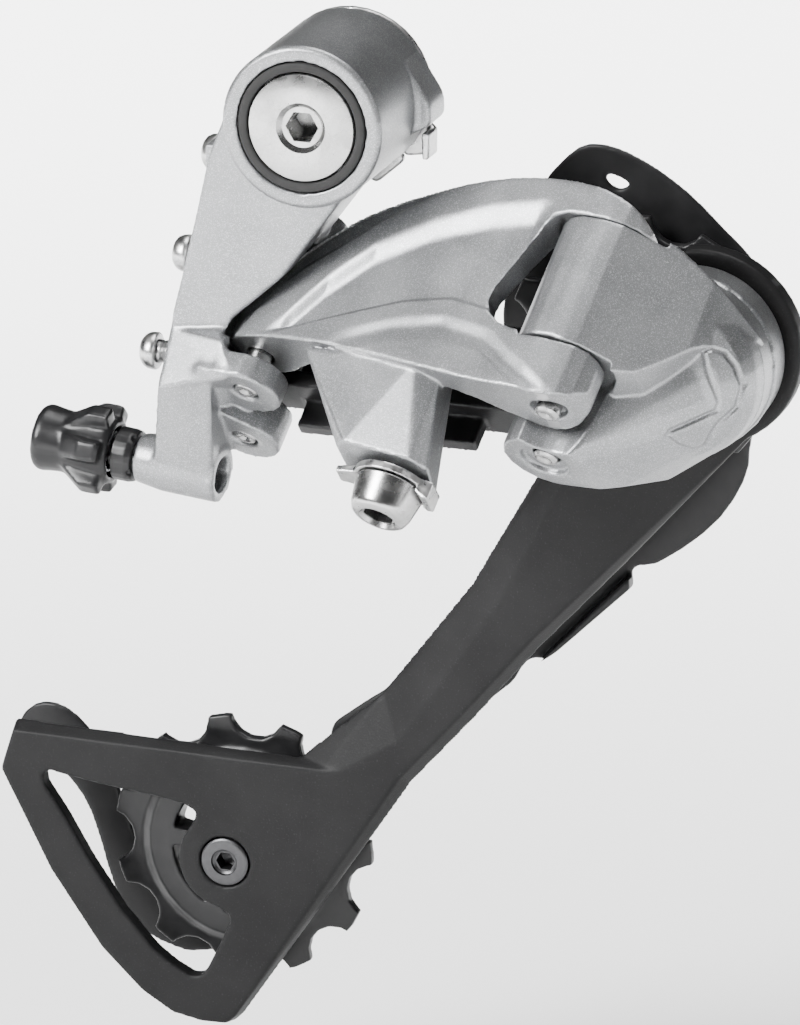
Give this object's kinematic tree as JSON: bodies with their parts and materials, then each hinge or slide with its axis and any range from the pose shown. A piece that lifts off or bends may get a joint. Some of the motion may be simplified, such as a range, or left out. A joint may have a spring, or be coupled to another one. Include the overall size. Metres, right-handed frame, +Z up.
{
  "type": "rear bicycle derailleur",
  "caption": "Long-cage rear derailleur with a slant parallelogram body, sprung pivots, toothed guide and tension pulleys in a plate cage, and a barrel cable adjuster.",
  "frame": {"origin": "the mounting bolt's axis at the plane where its shoulder seats on the frame hanger", "axes": "+X forward on the bicycle, +Y inboard along the mounting bolt towards the cassette, +Z up"},
  "size_m": [0.1458, 0.069, 0.1858],
  "materials": {
    "bright_steel": "turned and polished steel with fine lathe rings",
    "zinc_steel": "bright zinc-plated steel, slightly mottled",
    "spring_steel": "dark oiled spring wire",
    "silver_paint": "fine metallic silver paint over cast alloy, satin clear coat",
    "black_paint": "satin black powder-coated steel",
    "black_steel": "satin black coated steel sheet, slightly burnished edges",
    "bolt_steel": "dark grey plated steel",
    "black_plastic": "moulded black plastic, satin",
    "nylon": "dark moulded nylon",
    "rubber": "black rubber, matt"
  },
  "bodies": {
    "mount": {"mounting_bolt": "bright_steel", "stop_plate": "zinc_steel", "snap_ring": "spring_steel"},
    "b_knuckle": {"b_knuckle": "silver_paint", "bolt_seal_ring": "rubber", "bolt_bush": "nylon", "b_spring": "spring_steel", "outer_pin_b": "bright_steel", "inner_pin_b": "bright_steel", "limit_screw_upper": "zinc_steel", "limit_screw_lower": "zinc_steel", "b_tension_screw": "zinc_steel", "adjuster_collar": "black_plastic", "adjuster_spring": "spring_steel"},
    "adjuster_screw": {"adjuster_knob": "black_plastic", "adjuster_barrel": "zinc_steel"},
    "outer_link": {"outer_link": "silver_paint", "outer_pin_p": "bright_steel", "cable_washer": "zinc_steel", "cable_bolt": "bright_steel"},
    "inner_link": {"inner_link": "black_steel", "return_spring": "spring_steel"},
    "p_knuckle": {"p_knuckle": "silver_paint", "inner_pin_p": "bright_steel", "p_spring": "spring_steel", "p_bush": "nylon"},
    "cage": {"outer_plate": "black_paint", "inner_plate": "black_steel", "p_axle": "zinc_steel", "cage_stop_pin": "zinc_steel", "guide_bolt": "bolt_steel", "guide_bushing": "bright_steel", "guide_cap_outer": "zinc_steel", "guide_cap_inner": "zinc_steel", "tension_bolt": "bolt_steel", "tension_bushing": "bright_steel", "tension_cap_outer": "zinc_steel", "tension_cap_inner": "zinc_steel"},
    "guide_pulley": {"guide_pulley": "black_plastic"},
    "tension_pulley": {"tension_pulley": "black_plastic"}
  },
  "joints": [
    {"name": "b_pivot", "type": "hinge", "parent": "mount", "child": "b_knuckle", "pos_m": [0, 0, 0], "axis": [0, 1, 0], "range_deg": [-30, 0], "stiffness_Nm_per_rad": 0.6, "springref_deg": 57.3},
    {"name": "link_pivot", "type": "hinge", "parent": "b_knuckle", "child": "outer_link", "pos_m": [-0.00812, -0.0161, -0.0354], "axis": [0.14, 0.7001, 0.7001], "range_deg": [0, 50], "stiffness_Nm_per_rad": 0.8, "springref_deg": -45.84},
    {"name": "inner_link_pivot", "type": "hinge", "parent": "b_knuckle", "child": "inner_link", "pos_m": [-0.01102, -0.00876, -0.04644], "axis": [0.14, 0.7001, 0.7001], "range_deg": [0, 50]},
    {"name": "p_knuckle_pivot", "type": "hinge", "parent": "outer_link", "child": "p_knuckle", "pos_m": [0.04979, -0.02679, -0.02629], "axis": [0.14, 0.7001, 0.7001], "range_deg": [-50, 0]},
    {"name": "cage_pivot", "type": "hinge", "parent": "p_knuckle", "child": "cage", "pos_m": [0.061, 0, -0.0404], "axis": [0, -1, 0], "range_deg": [0, 95], "stiffness_Nm_per_rad": 0.35, "springref_deg": -91.67},
    {"name": "guide_spin", "type": "hinge", "parent": "cage", "child": "guide_pulley", "pos_m": [0.0475, 0.0093, -0.045], "axis": [0, -1, 0], "continuous": true},
    {"name": "tension_spin", "type": "hinge", "parent": "cage", "child": "tension_pulley", "pos_m": [-0.0242, 0.0093, -0.1416], "axis": [0, -1, 0], "continuous": true},
    {"name": "adjuster_turn", "type": "hinge", "parent": "b_knuckle", "child": "adjuster_screw", "pos_m": [-0.0166, -0.022, -0.064], "axis": [-0.9946, 0.0502, 0.0904], "range_deg": [0, 1800]}
  ],
  "couplings": [
    {"joint": "inner_link_pivot", "follows": "link_pivot", "ratio": 1},
    {"joint": "p_knuckle_pivot", "follows": "link_pivot", "ratio": -1}
  ]
}
